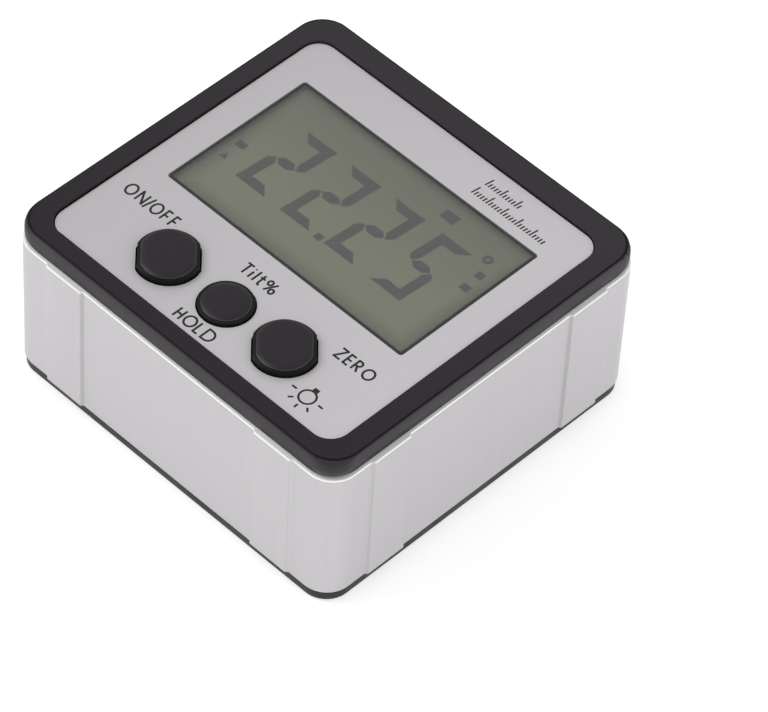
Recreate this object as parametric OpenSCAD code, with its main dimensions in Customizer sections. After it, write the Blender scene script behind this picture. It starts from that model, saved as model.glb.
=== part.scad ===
// Digital inclinometer (angle box): a square box with a tilt sensor, a display and three buttons.
// It lies on its back. X runs to the right of the display, Y up the display, Z out of the face.
// The origin is at the middle of the back. All lengths are in millimetres.

/* [Body] */
// Width of the bezel and of the back cover, left to right
bezel_width = 58.8; // [58:0.1:60]
// Length of the bezel and of the back cover, bottom to top
bezel_length = 56.5; // [55.8:0.1:57.5]
// Radius of the upright corners of the bezel and of the back cover
corner_radius = 3.7; // [3.4:0.1:4.2]
// Height from the back face to the rim of the bezel
body_height = 27.3; // [27:0.1:28.5]
// Height of the bezel band that shows above the side frame
bezel_band = 3.25; // [3:0.05:3.5]
// Height of the back cover edge that shows below the side frame
back_band = 1.85; // [1.6:0.05:2]

/* [Side frame] */
// How far the frame stands out past the bezel
frame_step = 0.25; // [0.1:0.05:0.4]
// Radius of the upright corners of the frame
frame_radius = 4; // [3.8:0.1:4.6]
// Wall thickness of the frame
frame_wall = 1.8; // [1.6:0.05:1.9]
// How far the contact pads stand out from the frame
pad_rise = 0.35; // [0.2:0.05:0.6]
// Width of each contact pad
pad_width = 7.1; // [5:0.1:7.5]
// Distance from the end of a side to its nearest pad
pad_inset = 6.9; // [6:0.1:8]

/* [Face plate] */
// Width of the silver face plate
plate_width = 52.1; // [51.4:0.1:52.2]
// Length of the silver face plate
plate_length = 49.6; // [49.2:0.1:49.8]
// Thickness of the face plate
plate_thickness = 0.5; // [0.4:0.05:0.6]
// Depth of the face plate below the bezel rim
plate_sink = 0.4; // [0.3:0.05:0.5]
// Corner radius of the face plate
plate_radius = 2.8; // [2:0.1:3.4]

/* [Display] */
// Width of the opening over the display
window_width = 42.95; // [41:0.05:43.4]
// Length of the opening over the display
window_length = 25.3; // [24:0.1:26]
// Height of the middle of the display above the middle of the face plate
window_up = 5; // [4.6:0.05:5.1]

/* [Buttons] */
// Distance from one button to the next
button_pitch = 10.65; // [10.2:0.05:11]
// Distance of the button row below the middle of the face plate
button_down = 17.75; // [17.4:0.05:18.2]
// Diameter of the left and the right button
side_button_diameter = 8.9; // [8:0.1:9]
// Width of the left and the right button across their two flats
side_button_flats = 8.1; // [7.4:0.1:8.2]
// Height of the left and the right button above the face plate
side_button_rise = 1.35; // [0.9:0.05:1.6]
// Diameter of the middle button
middle_button_diameter = 7.5; // [6.6:0.1:7.8]
// Height of the middle button above the face plate
middle_button_rise = 0.8; // [0.5:0.05:1.2]
// Travel of each button
button_travel = 0.4; // [0.2:0.05:0.5]

/* [Battery] */
// Diameter of each cell
cell_diameter = 10.3; // [10:0.1:10.5]
// Length of a cell without its raised end
cell_length = 43.3; // [42.8:0.1:43.6]
// Thickness of the battery door
door_thickness = 1; // [0.9:0.05:1.1]

/* [Hidden] */
$fn = 48;
hair = 0.05;
// Side frame
frame_width = bezel_width + 2 * frame_step;
frame_length = bezel_length + 2 * frame_step;
cavity_width = frame_width - 2 * frame_wall;
cavity_length = frame_length - 2 * frame_wall;
cavity_radius = frame_radius - frame_wall;
frame_bottom = back_band;
frame_top = body_height - bezel_band;
pad_slope = pad_rise;
// Lips of the bezel and of the back cover that reach into the frame
lip_gap = 0.15;
lip_wall = 1.2;
lip_depth = 2;
lip_width = cavity_width - 2 * lip_gap;
lip_length = cavity_length - 2 * lip_gap;
lip_radius = cavity_radius - lip_gap;
// Bezel and face plate
plate_x = -0.12;
plate_y = -0.55;
plate_gap = 0.15;
plate_top = body_height - plate_sink;
plate_bottom = plate_top - plate_thickness;
tape_thickness = 0.15;
pocket_floor = plate_bottom - tape_thickness;
floor_thickness = 1.55;
floor_bottom = pocket_floor - floor_thickness;
rim_round = 0.35;
rim_inner = 2.4;
// Display
window_radius = 0.5;
display_x = plate_x;
display_y = plate_y + window_up;
glass_width = 45.4;
front_glass_length = 29.2;
rear_glass_length = 26.4;
front_glass_thickness = 1;
rear_glass_thickness = 1;
front_glass_bottom = pocket_floor - front_glass_thickness;
rear_glass_bottom = front_glass_bottom - rear_glass_thickness;
guide_thickness = 1.7;
guide_bottom = rear_glass_bottom - hair - guide_thickness;
holder_width = 47.6;
holder_length = 31.4;
holder_pocket_length = 29.4;
connector_width = 1.3;
connector_length = 43;
// Circuit board
board_width = 50.6;
board_length = 48.2;
board_thickness = 1.6;
board_top = floor_bottom - 5.1;
board_bottom = board_top - board_thickness;
board_screw_x = [22.3, 12];
board_screw_y = [-14.6, 22.2];
board_boss_radius = 1.9;
board_shank_radius = 0.95;
// Switches
switch_size = 6;
switch_height = 3.3;
plunger_radius = 1.7;
plunger_length = 1.45;
switch_fit = 0.08;
// Buttons
flange_bottom = floor_bottom - hair - 0.9;
flange_thickness = 0.9;
flange_spread = 0.8;
button_x = plate_x + 0.15;
button_y = plate_y - button_down;
button_fit = 0.1;
button_gap = 0.18;
shoulder = 0.6;
flat_angle = 45;
// Posts and case screws
post_radius = 2.5;
post_x = cavity_width / 2 - 3.8;
post_y = cavity_length / 2 - 3.8;
post_bottom = 10;
case_head_radius = 2;
case_head_height = 1.6;
case_head_seat = 2.2;
case_shank_radius = 1.2;
case_shank_length = 13.5;
// Battery bay
cell_radius = cell_diameter / 2;
cell_y = 5.35;
cell_z = 2 + cell_radius;
cell_tip_radius = 1.9;
cell_tip_length = 1;
bay_width = 49.6;
bay_length = 22;
bay_wall = 1;
bay_top = 12.6;
bay_roof = 1;
contact_thickness = 0.4;
contact_face = bay_width / 2 - contact_thickness;
cell_tip_gap = 0.4;
cell_flat_end = cell_length + cell_tip_length + cell_tip_gap - contact_face;
leaf_thickness = 0.3;
leaf_width = 5;
tab_width = 2.4;
tab_top = 15.6;
// Battery door
door_width = 52;
door_length = 25.2;
door_recess = 0.1;
door_gap = 0.15;
ear_y = 14.6;
ear_radius = 4;
ear_top = 2.6;
door_head_radius = 1.8;
door_head_height = 1.1;
door_head_seat = 1.5;
door_shank_radius = 1;
door_shank_length = 5;
door_boss_radius = 5.2;
door_boss_top = 7.4;
// Magnets
magnet_width = 5.4;
magnet_height = 13;
magnet_thickness = 2;
magnet_bottom = 5;

// Outline of a rectangle with round corners.
module rounded_outline(width, length, radius) {
  square([width - 2 * radius, length], center = true);
  square([width, length - 2 * radius], center = true);
  for (x = [-1, 1]) for (y = [-1, 1])
    translate([x * (width / 2 - radius), y * (length / 2 - radius)]) circle(r = radius);
}

// Slab with round upright corners, from one height to another.
module slab(width, length, radius, bottom, top) {
  translate([0, 0, bottom]) linear_extrude(height = top - bottom) rounded_outline(width, length, radius);
}

// Box centred on X and Y, from one height to another.
module block(width, length, bottom, top) {
  translate([-width / 2, -length / 2, bottom]) cube([width, length, top - bottom]);
}

// Upright round bar from one height to another.
module bar(radius, bottom, top) {
  translate([0, 0, bottom]) cylinder(r = radius, h = top - bottom);
}

// Copies of a child at the four corners.
module at_corners(x, y) {
  for (i = [-1, 1]) for (j = [-1, 1]) translate([i * x, j * y, 0]) children();
}

// Sweeps a flat profile round the outer edge. Its X runs outwards and its edge lies at the corner radius.
module swept_edge(width, length, radius) {
  straight_x = width - 2 * radius;
  straight_y = length - 2 * radius;
  for (turn = [0, 180]) rotate([0, 0, turn]) {
    translate([width / 2 - radius, straight_y / 2, 0]) rotate([90, 0, 0])
      linear_extrude(height = straight_y) children();
    translate([-straight_x / 2, length / 2 - radius, 0]) rotate([90, 0, 90])
      linear_extrude(height = straight_x) children();
    translate([width / 2 - radius, length / 2 - radius, 0]) rotate_extrude(angle = 90) children();
    translate([-width / 2 + radius, length / 2 - radius, 0]) rotate([0, 0, 90])
      rotate_extrude(angle = 90) children();
  }
}

// Section of the bezel edge: flat rim, small slanted edge, and a band that draws in at its foot.
module bezel_section() {
  edge = corner_radius;
  face = edge - 0.04;
  crease = frame_top + 1.2;
  polygon([[edge - rim_inner, frame_top], [edge - 0.12, frame_top], [edge, crease],
           [face, body_height - rim_round], [face - 0.3 * rim_round, body_height - 0.3 * rim_round],
           [face - rim_round, body_height], [edge - rim_inner, body_height]]);
}

// Section of the back cover edge with a small slanted lower corner.
module back_section() {
  edge = corner_radius;
  slant = 0.3;
  polygon([[edge - rim_inner, 0], [edge - slant, 0], [edge, slant], [edge, back_band],
           [edge - rim_inner, back_band]]);
}

// Outline of a side button or of its hole: a circle with two flats.
module flatted_outline(diameter, flats) {
  rotate([0, 0, flat_angle]) intersection() {
    circle(d = diameter, $fn = 64);
    square([flats, diameter + 1], center = true);
  }
}

// Places children at the left and the right button.
module at_side_buttons() {
  for (side = [-1, 1])
    translate([button_x + side * button_pitch, button_y, 0]) children();
}

// Places children at the middle button.
module at_middle_button() {
  translate([button_x, button_y, 0]) children();
}

// Holes for the three buttons, wider than the buttons by a gap all round.
module button_holes(gap, bottom, top) {
  translate([0, 0, bottom]) linear_extrude(height = top - bottom) {
    at_side_buttons() flatted_outline(side_button_diameter + 2 * gap, side_button_flats + 2 * gap);
    at_middle_button() circle(d = middle_button_diameter + 2 * gap, $fn = 64);
  }
}

// Cross recess of a small screw, cut upwards from a height.
module cross_recess(size, bottom, depth) {
  block(size, size / 4, bottom - 1, bottom + depth);
  block(size / 4, size, bottom - 1, bottom + depth);
}

// Black front part: rim, floor under the face plate, lip, long posts and board posts.
module front_bezel() {
  color([0.11, 0.11, 0.12]) difference() {
    union() {
      swept_edge(bezel_width, bezel_length, corner_radius) bezel_section();
      slab(bezel_width - 3, bezel_length - 3, corner_radius - 1.5, floor_bottom, body_height);
      difference() {
        slab(lip_width, lip_length, lip_radius, frame_top - lip_depth, floor_bottom + hair);
        slab(lip_width - 2 * lip_wall, lip_length - 2 * lip_wall, lip_radius - lip_wall,
             frame_top - lip_depth - 1, floor_bottom + 1);
      }
      at_corners(post_x, post_y) bar(post_radius, post_bottom, floor_bottom + hair);
      for (i = [0, 1]) for (side = [-1, 1])
        translate([side * board_screw_x[i], board_screw_y[i], 0])
          bar(board_boss_radius, board_top, floor_bottom + hair);
    }
    translate([plate_x, plate_y, 0])
      slab(plate_width + 2 * plate_gap, plate_length + 2 * plate_gap, plate_radius + plate_gap,
           pocket_floor, body_height + 1);
    translate([display_x, display_y, 0])
      slab(glass_width + 0.3, front_glass_length + 0.3, 0.6, floor_bottom - 1, body_height);
    button_holes(button_fit, floor_bottom - 1, body_height);
    at_corners(post_x, post_y) bar(case_shank_radius + 0.06, post_bottom - 1, post_bottom + 7);
    for (i = [0, 1]) for (side = [-1, 1])
      translate([side * board_screw_x[i], board_screw_y[i], 0])
        bar(board_shank_radius + 0.06, board_top - 1, board_top + 4);
  }
}

// Silver plate with the display opening and the button holes.
module face_plate() {
  color([0.74, 0.74, 0.76]) difference() {
    translate([plate_x, plate_y, 0])
      slab(plate_width, plate_length, plate_radius, plate_bottom, plate_top);
    translate([display_x, display_y, 0])
      slab(window_width, window_length, window_radius, plate_bottom - 1, plate_top + 1);
    button_holes(button_gap, plate_bottom - 1, plate_top + 1);
  }
}

// Thin double-sided tape that holds the face plate in its pocket.
module plate_tape() {
  color([0.2, 0.2, 0.2]) difference() {
    translate([plate_x, plate_y, 0])
      slab(plate_width - 1, plate_length - 1, plate_radius - 0.5, pocket_floor, plate_bottom);
    translate([display_x, display_y, 0])
      slab(window_width + 0.6, window_length + 0.6, window_radius, pocket_floor - 1, plate_bottom + 1);
    button_holes(button_gap + 0.3, pocket_floor - 1, plate_bottom + 1);
  }
}

// Clear sheet that lies in the display opening.
module display_window() {
  color([0.85, 0.88, 0.86, 0.35]) translate([display_x, display_y, 0])
    slab(window_width - 0.2, window_length - 0.2, window_radius - 0.1, pocket_floor, plate_top - 0.1);
}

// Front glass of the display, with bare edges above and below for the connectors.
module lcd_front_glass() {
  color([0.47, 0.49, 0.42]) translate([display_x, display_y, 0])
    block(glass_width, front_glass_length, front_glass_bottom, pocket_floor);
}

// Rear glass of the display.
module lcd_rear_glass() {
  color([0.42, 0.44, 0.38]) translate([display_x, display_y, 0])
    block(glass_width, rear_glass_length, rear_glass_bottom, front_glass_bottom);
}

// White light guide behind the display.
module light_guide() {
  color([0.93, 0.94, 0.92]) translate([display_x, display_y, 0])
    block(glass_width - 0.2, rear_glass_length - 0.2, guide_bottom, rear_glass_bottom);
}

// Two small lamps on the board that shine up into the light guide.
module backlight_leds() {
  color([0.95, 0.93, 0.8]) for (side = [-1, 1])
    translate([display_x + side * 14, display_y, 0]) block(3, 1.4, board_top, board_top + 0.8);
}

// Two striped rubber strips that join the glass to the board.
module lcd_connectors() {
  color([0.85, 0.6, 0.55]) for (side = [-1, 1])
    translate([display_x, display_y + side * (holder_pocket_length / 2 - 0.75), 0])
      block(connector_length, connector_width, board_top, front_glass_bottom);
}

// White frame that holds the glass, the light guide and the connectors over the board.
module lcd_holder() {
  deck_bottom = guide_bottom - 1.5;
  color([0.9, 0.9, 0.88]) translate([display_x, display_y, 0]) difference() {
    block(holder_width, holder_length, board_top, floor_bottom - hair);
    block(glass_width + 0.2, holder_pocket_length, guide_bottom, floor_bottom + 1);
    block(glass_width - 3.4, rear_glass_length - 3, board_top - 1, deck_bottom);
    for (side = [-1, 1]) translate([0, side * (holder_pocket_length / 2 - 0.75), 0])
      block(connector_length + 0.4, 1.5, board_top - 1, floor_bottom + 1);
    for (side = [-1, 1]) translate([side * 14, 0, 0])
      block(3.4, 1.8, board_top, guide_bottom + 1);
  }
}

// Round cap with a rounded shoulder, from one height to another.
module round_cap(radius, bottom, top) {
  translate([0, 0, bottom]) rotate_extrude() {
    square([radius, top - bottom - shoulder]);
    square([radius - shoulder, top - bottom]);
    translate([radius - shoulder, top - bottom - shoulder]) circle(r = shoulder, $fn = 32);
  }
}

// Left or right button: flatted cap, and a wide foot below the bezel floor.
module side_button() {
  top = plate_top + side_button_rise;
  foot_top = flange_bottom + flange_thickness;
  intersection() {
    rotate([0, 0, flat_angle]) block(side_button_flats, side_button_diameter + 1, flange_bottom, top + 1);
    round_cap(side_button_diameter / 2, foot_top - hair, top);
  }
  bar(side_button_diameter / 2 + flange_spread, flange_bottom, foot_top);
}

// Left button: switches the display on and off.
module power_button() {
  color([0.2, 0.2, 0.21]) translate([button_x - button_pitch, button_y, 0]) side_button();
}

// Right button: sets the reading to zero.
module zero_button() {
  color([0.2, 0.2, 0.21]) translate([button_x + button_pitch, button_y, 0]) side_button();
}

// Middle button: round, lower and smaller.
module hold_button() {
  radius = middle_button_diameter / 2;
  foot_top = flange_bottom + flange_thickness;
  color([0.2, 0.2, 0.21]) at_middle_button() {
    round_cap(radius, foot_top - hair, plate_top + middle_button_rise);
    bar(radius + flange_spread, flange_bottom, foot_top);
  }
}

// Plunger of a switch; it stays under its button.
module plunger() {
  color([0.12, 0.12, 0.12]) bar(plunger_radius, flange_bottom - plunger_length, flange_bottom);
}

// Plunger under the left button.
module power_plunger() {
  translate([button_x - button_pitch, button_y, 0]) plunger();
}

// Plunger under the middle button.
module hold_plunger() {
  at_middle_button() plunger();
}

// Plunger under the right button.
module zero_plunger() {
  translate([button_x + button_pitch, button_y, 0]) plunger();
}

// One switch body with a round well for its plunger and four legs beside it.
module switch_body() {
  difference() {
    block(switch_size, switch_size, board_top, board_top + switch_height);
    bar(plunger_radius + switch_fit, flange_bottom - plunger_length - button_travel - 0.2, floor_bottom);
  }
  for (i = [-1, 1]) for (j = [-1, 1])
    translate([i * (switch_size / 2 + 0.45), j * 2.25, 0]) block(0.9, 0.7, board_top, board_top + 0.3);
}

// The three switch bodies on the board.
module switch_bodies() {
  color([0.3, 0.3, 0.32]) {
    at_side_buttons() switch_body();
    at_middle_button() switch_body();
  }
}

// Green circuit board, cut out round the long posts.
module main_board() {
  color([0.1, 0.35, 0.18]) difference() {
    slab(board_width, board_length, 1, board_bottom, board_top);
    at_corners(post_x, post_y) bar(post_radius + 0.4, board_bottom - 1, board_top + 1);
    for (i = [0, 1]) for (side = [-1, 1])
      translate([side * board_screw_x[i], board_screw_y[i], 0])
        bar(board_shank_radius + 0.15, board_bottom - 1, board_top + 1);
  }
}

// Tilt sensor chip on the rear side of the board.
module tilt_sensor() {
  color([0.13, 0.13, 0.14]) translate([-9, 9, 0]) block(4, 4, board_bottom - 1.2, board_bottom);
}

// Square control chip with legs on all four sides.
module microcontroller() {
  body = 7;
  legs = 11;
  color([0.12, 0.12, 0.13]) translate([7, 8, 0]) {
    block(body, body, board_bottom - 1.5, board_bottom - 0.1);
    for (turn = [0, 90, 180, 270]) rotate([0, 0, turn])
      for (i = [0:legs - 1]) translate([body / 2 + 0.45, (i - (legs - 1) / 2) * 0.55, 0])
        block(1, 0.25, board_bottom - 0.25, board_bottom);
  }
}

// Small metal can that keeps the time of the control chip.
module crystal() {
  can_radius = 1.05;
  color([0.75, 0.75, 0.76]) translate([4, -3, board_bottom - can_radius]) rotate([0, 90, 0])
    cylinder(r = can_radius, h = 6.2);
}

// Small resistors and capacitors on the rear side of the board.
module board_passives() {
  color([0.55, 0.45, 0.32]) {
    for (i = [0:4]) translate([-2 + i * 2.6, 15, 0]) block(0.8, 1.6, board_bottom - 0.6, board_bottom);
    for (i = [0:4]) translate([-14, 4 - i * 2.4, 0]) block(1.6, 0.8, board_bottom - 0.6, board_bottom);
    translate([14, -3, 0]) block(3.2, 1.6, board_bottom - 1.6, board_bottom);
  }
}

// Four small screws that hold the board to the bezel.
module board_screws() {
  head_height = 1.2;
  color([0.78, 0.78, 0.8]) for (i = [0, 1]) for (side = [-1, 1])
    translate([side * board_screw_x[i], board_screw_y[i], 0]) difference() {
      union() {
        bar(1.7, board_bottom - head_height, board_bottom);
        bar(board_shank_radius, board_bottom - hair, board_top + 3.4);
      }
      cross_recess(1.8, board_bottom - head_height, 0.6);
    }
}

// Contact pad on the side of the frame that faces right, before it is turned into place.
module pad_outline(reach, middle) {
  polygon([[reach - 1, middle - pad_width / 2], [reach, middle - pad_width / 2],
           [reach + pad_rise, middle - pad_width / 2 + pad_slope],
           [reach + pad_rise, middle + pad_width / 2 - pad_slope],
           [reach, middle + pad_width / 2], [reach - 1, middle + pad_width / 2]]);
}

// Metal frame round the four sides, with two flat contact pads on each side.
module side_frame() {
  middle_x = frame_width / 2 - pad_inset - pad_width / 2;
  middle_y = frame_length / 2 - pad_inset - pad_width / 2;
  color([0.8, 0.8, 0.81]) translate([0, 0, frame_bottom]) linear_extrude(height = frame_top - frame_bottom)
    difference() {
      union() {
        rounded_outline(frame_width, frame_length, frame_radius);
        for (turn = [0, 180]) rotate([0, 0, turn]) for (side = [-1, 1]) {
          pad_outline(frame_width / 2, side * middle_y);
          rotate([0, 0, 90]) pad_outline(frame_length / 2, side * middle_x);
        }
      }
      rounded_outline(cavity_width, cavity_length, cavity_radius);
    }
}

// Eight flat magnets on the inner wall of the frame, one behind each contact pad.
module side_magnets() {
  middle_x = frame_width / 2 - pad_inset - pad_width / 2;
  middle_y = frame_length / 2 - pad_inset - pad_width / 2;
  top = magnet_bottom + magnet_height;
  color([0.6, 0.6, 0.62]) for (i = [-1, 1]) for (j = [-1, 1]) {
    translate([i * (cavity_width - magnet_thickness) / 2, j * middle_y, 0])
      block(magnet_thickness, magnet_width, magnet_bottom, top);
    translate([i * middle_x, j * (cavity_length - magnet_thickness) / 2, 0])
      block(magnet_width, magnet_thickness, magnet_bottom, top);
  }
}

// Black back cover: plate, lip, screw bosses and the battery bay.
module back_cover() {
  color([0.13, 0.13, 0.14]) difference() {
    union() {
      swept_edge(bezel_width, bezel_length, corner_radius) back_section();
      slab(bezel_width - 3, bezel_length - 3, corner_radius - 1.5, 0, back_band);
      difference() {
        slab(lip_width, lip_length, lip_radius, back_band - hair, back_band + lip_depth);
        slab(lip_width - 2 * lip_wall, lip_length - 2 * lip_wall, lip_radius - lip_wall,
             back_band - 1, back_band + lip_depth + 1);
      }
      at_corners(post_x, post_y) bar(post_radius, back_band - hair, post_bottom - 0.1);
      block(bay_width + 2 * bay_wall, bay_length + 2 * bay_wall, back_band - hair, bay_top + bay_roof);
      for (side = [-1, 1]) translate([0, side * ear_y, 0])
        bar(door_boss_radius, back_band - hair, door_boss_top);
    }
    block(bay_width, bay_length, -1, bay_top);
    slab(door_width + 2 * door_gap, door_length + 2 * door_gap, 2.15, -1,
         door_recess + door_thickness);
    for (side = [-1, 1]) translate([0, side * ear_y, 0]) {
      bar(ear_radius + door_gap, -1, ear_top);
      bar(door_shank_radius + 0.06, 0, door_boss_top - 0.6);
    }
    at_corners(post_x, post_y) {
      bar(case_head_radius + 0.2, -1, case_head_seat);
      bar(case_shank_radius + 0.1, -1, post_bottom + 1);
    }
    for (side = [-1, 1]) translate([-contact_face - contact_thickness / 2, side * cell_y, 0])
      block(contact_thickness + hair, tab_width + 0.3, bay_top - 1, bay_top + bay_roof + 1);
  }
}

// Four long screws that hold the back cover, the frame and the bezel together.
module case_screws() {
  color([0.7, 0.7, 0.72]) at_corners(post_x, post_y) difference() {
    union() {
      bar(case_head_radius, case_head_seat - case_head_height, case_head_seat);
      bar(case_shank_radius, case_head_seat - hair, case_head_seat + case_shank_length);
    }
    cross_recess(2.4, case_head_seat - case_head_height, 0.9);
  }
}

// Battery door with an ear for a screw on each long side.
module battery_door() {
  color([0.13, 0.13, 0.14]) difference() {
    union() {
      slab(door_width, door_length, 2, door_recess, door_recess + door_thickness);
      for (side = [-1, 1]) translate([0, side * ear_y, 0]) bar(ear_radius, door_recess, ear_top);
    }
    block(bay_width - 1, bay_length - 1, door_recess + door_thickness, ear_top + 1);
    for (side = [-1, 1]) translate([0, side * ear_y, 0]) {
      bar(door_head_radius + 0.2, -1, door_head_seat);
      bar(door_shank_radius + 0.1, -1, ear_top + 1);
    }
  }
}

// Two soft strips on the inside of the door that press on the cells.
module door_foam() {
  top = cell_z - cell_radius - hair;
  color([0.25, 0.25, 0.26]) for (side = [-1, 1])
    translate([side * 12, 0, 0]) block(5, 19, door_recess + door_thickness, top);
}

// One screw of the battery door.
module door_screw() {
  color([0.75, 0.75, 0.77]) difference() {
    union() {
      bar(door_head_radius, door_head_seat - door_head_height, door_head_seat);
      bar(door_shank_radius, door_head_seat - hair, door_head_seat + door_shank_length);
    }
    cross_recess(2.2, door_head_seat - door_head_height, 0.7);
  }
}

// Screw of the ear towards the top of the display.
module door_screw_upper() {
  translate([0, ear_y, 0]) door_screw();
}

// Screw of the ear towards the buttons.
module door_screw_lower() {
  translate([0, -ear_y, 0]) door_screw();
}

// One cell lying along X, with its raised end to the right.
module cell() {
  color([0.75, 0.6, 0.2]) translate([-cell_flat_end, 0, cell_z]) rotate([0, 90, 0]) {
    cylinder(r = cell_radius, h = cell_length);
    cylinder(r = cell_tip_radius, h = cell_length + cell_tip_length);
  }
}

// Cell towards the top of the display.
module battery_cell_upper() {
  translate([0, cell_y, 0]) cell();
}

// Cell towards the buttons, turned end for end.
module battery_cell_lower() {
  translate([0, -cell_y, 0]) mirror([1, 0, 0]) cell();
}

// Flat contact with a round boss for the raised end of a cell, on the right wall of the bay.
module flat_contact(width) {
  translate([contact_face, -width / 2, 2.6]) cube([contact_thickness, width, 9.7]);
}

// Round boss of a contact that touches the raised end of a cell.
module contact_boss() {
  reach = cell_tip_gap - hair;
  translate([contact_face - reach, 0, cell_z]) rotate([0, 90, 0]) cylinder(r = 1.6, h = cell_tip_gap);
}

// Bent leaf of a contact that presses on the flat end of a cell.
module contact_leaf() {
  inner = cell_flat_end + hair;
  outer = inner + leaf_thickness;
  root = contact_face + hair;
  rotate([90, 0, 0]) translate([0, 0, -leaf_width / 2]) linear_extrude(height = leaf_width)
    polygon([[root, 3.2], [inner, cell_z - 0.5], [inner, cell_z + 0.5], [contact_face - 1, 11.4],
             [contact_face - 1, 10.9], [outer, cell_z + 0.3], [outer, cell_z - 0.3], [root, 3.7]]);
}

// Narrow tab of a contact that passes up through the roof of the bay.
module contact_tab() {
  translate([contact_face, -tab_width / 2, 12]) cube([contact_thickness, tab_width, tab_top - 12]);
}

// Wide contact on the right wall that joins the two cells.
module contact_link() {
  color([0.82, 0.8, 0.72]) {
    flat_contact(4 * cell_y - 2);
    translate([0, cell_y, 0]) contact_boss();
    translate([0, -cell_y, 0]) contact_leaf();
  }
}

// Contact on the left wall for the flat end of the upper cell.
module contact_negative() {
  color([0.82, 0.8, 0.72]) translate([0, cell_y, 0]) mirror([1, 0, 0]) {
    flat_contact(8.4);
    contact_leaf();
    contact_tab();
  }
}

// Contact on the left wall for the raised end of the lower cell.
module contact_positive() {
  color([0.82, 0.8, 0.72]) translate([0, -cell_y, 0]) mirror([1, 0, 0]) {
    flat_contact(8.4);
    contact_boss();
    contact_tab();
  }
}

// Insulated wire from the tab of a contact up to the rear side of the board.
module supply_wire(side) {
  wire_radius = 0.5;
  route = [[-contact_face + wire_radius, side * cell_y, tab_top - 0.8],
           [-contact_face + 2.6, side * cell_y, tab_top - 0.7],
           [-contact_face + 4.4, side * (cell_y + 0.8), tab_top + 0.2],
           [-contact_face + 5.4, side * (cell_y + 1.6), board_bottom - wire_radius]];
  for (i = [0:len(route) - 2]) hull() {
    translate(route[i]) sphere(r = wire_radius, $fn = 24);
    translate(route[i + 1]) sphere(r = wire_radius, $fn = 24);
  }
}

// Red wire from the positive contact.
module wire_positive() {
  color([0.75, 0.08, 0.06]) supply_wire(-1);
}

// Black wire from the negative contact.
module wire_negative() {
  color([0.06, 0.06, 0.06]) supply_wire(1);
}

front_bezel();
face_plate();
plate_tape();
display_window();
lcd_front_glass();
lcd_rear_glass();
light_guide();
backlight_leds();
lcd_connectors();
lcd_holder();
power_button();
hold_button();
zero_button();
power_plunger();
hold_plunger();
zero_plunger();
switch_bodies();
main_board();
tilt_sensor();
microcontroller();
crystal();
board_passives();
board_screws();
side_frame();
side_magnets();
back_cover();
case_screws();
battery_door();
door_foam();
door_screw_upper();
door_screw_lower();
battery_cell_upper();
battery_cell_lower();
contact_link();
contact_negative();
contact_positive();
wire_positive();
wire_negative();
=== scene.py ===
import math

import bmesh
import bpy
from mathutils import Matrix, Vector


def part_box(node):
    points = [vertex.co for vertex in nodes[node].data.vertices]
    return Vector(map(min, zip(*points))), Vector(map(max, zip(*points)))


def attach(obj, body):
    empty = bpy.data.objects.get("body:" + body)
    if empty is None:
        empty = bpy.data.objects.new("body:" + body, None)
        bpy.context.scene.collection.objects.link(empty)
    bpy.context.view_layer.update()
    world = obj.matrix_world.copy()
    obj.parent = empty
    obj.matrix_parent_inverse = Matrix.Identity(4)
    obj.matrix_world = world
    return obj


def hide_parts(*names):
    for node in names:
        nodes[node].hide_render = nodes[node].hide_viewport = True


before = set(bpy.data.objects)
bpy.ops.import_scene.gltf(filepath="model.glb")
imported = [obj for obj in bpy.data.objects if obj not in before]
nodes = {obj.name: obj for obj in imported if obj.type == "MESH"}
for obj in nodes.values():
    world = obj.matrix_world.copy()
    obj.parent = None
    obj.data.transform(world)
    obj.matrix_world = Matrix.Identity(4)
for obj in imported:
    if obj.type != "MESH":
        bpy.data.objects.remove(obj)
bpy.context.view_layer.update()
scene = bpy.context.scene
scene.view_settings.view_transform = "Standard"


# Camera. It looks down on the lower right corner of the box from well away,
# through a long lens, as the photograph does.
camera_place = (0.290585, -0.310010, 0.484347)
camera_turn = [math.radians(turn) for turn in (41.40554618, -2.48774336, 44.85460462)]
bpy.ops.object.camera_add(location=camera_place, rotation=camera_turn)
camera = bpy.context.object
camera.data.lens = 226.5926
camera.data.sensor_width = 36
camera.data.sensor_fit = "HORIZONTAL"
scene.camera = camera


# Studio. A white room gives most of the light, with one large soft lamp above
# the left side and a weaker one to the right. The floor shows white to the camera.
room_light = 0.8
lamp_size = 0.5
floor_size = 8
floor_level = -0.00002
floor_glow = 0.56


def node_of(material, kind, **values):
    """Adds a shader node and sets its inputs or its own settings by name."""
    made = material.node_tree.nodes.new(kind)
    for name, value in values.items():
        label = name.replace("_", " ")
        if label in made.inputs:
            made.inputs[label].default_value = value
        else:
            setattr(made, name, value)
    return made


def join(material, *pairs):
    """Links pairs of sockets, each an output followed by the input that it feeds."""
    for start, end in pairs:
        material.node_tree.links.new(start, end)


def shader_of(material):
    """The main shader of a material."""
    return material.node_tree.nodes["Principled BSDF"]


def finish_of(name, colour, roughness, **more):
    """Starts a material with its plain values on the main shader's own sockets."""
    made = bpy.data.materials.new(name)
    made.use_nodes = True
    shader = shader_of(made)
    shader.inputs["Base Color"].default_value = (*colour, 1)
    shader.inputs["Roughness"].default_value = roughness
    for key, value in more.items():
        shader.inputs[key.replace("_", " ")].default_value = value
    return made


def soft_lamp(name, place, power):
    """Adds a square soft lamp that faces the middle of the box."""
    bpy.ops.object.light_add(type="AREA", location=place)
    lamp = bpy.context.object
    lamp.name = name
    lamp.data.size = lamp_size
    lamp.data.energy = power
    lamp.rotation_euler = lamp.location.to_track_quat("Z", "Y").to_euler()


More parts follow.
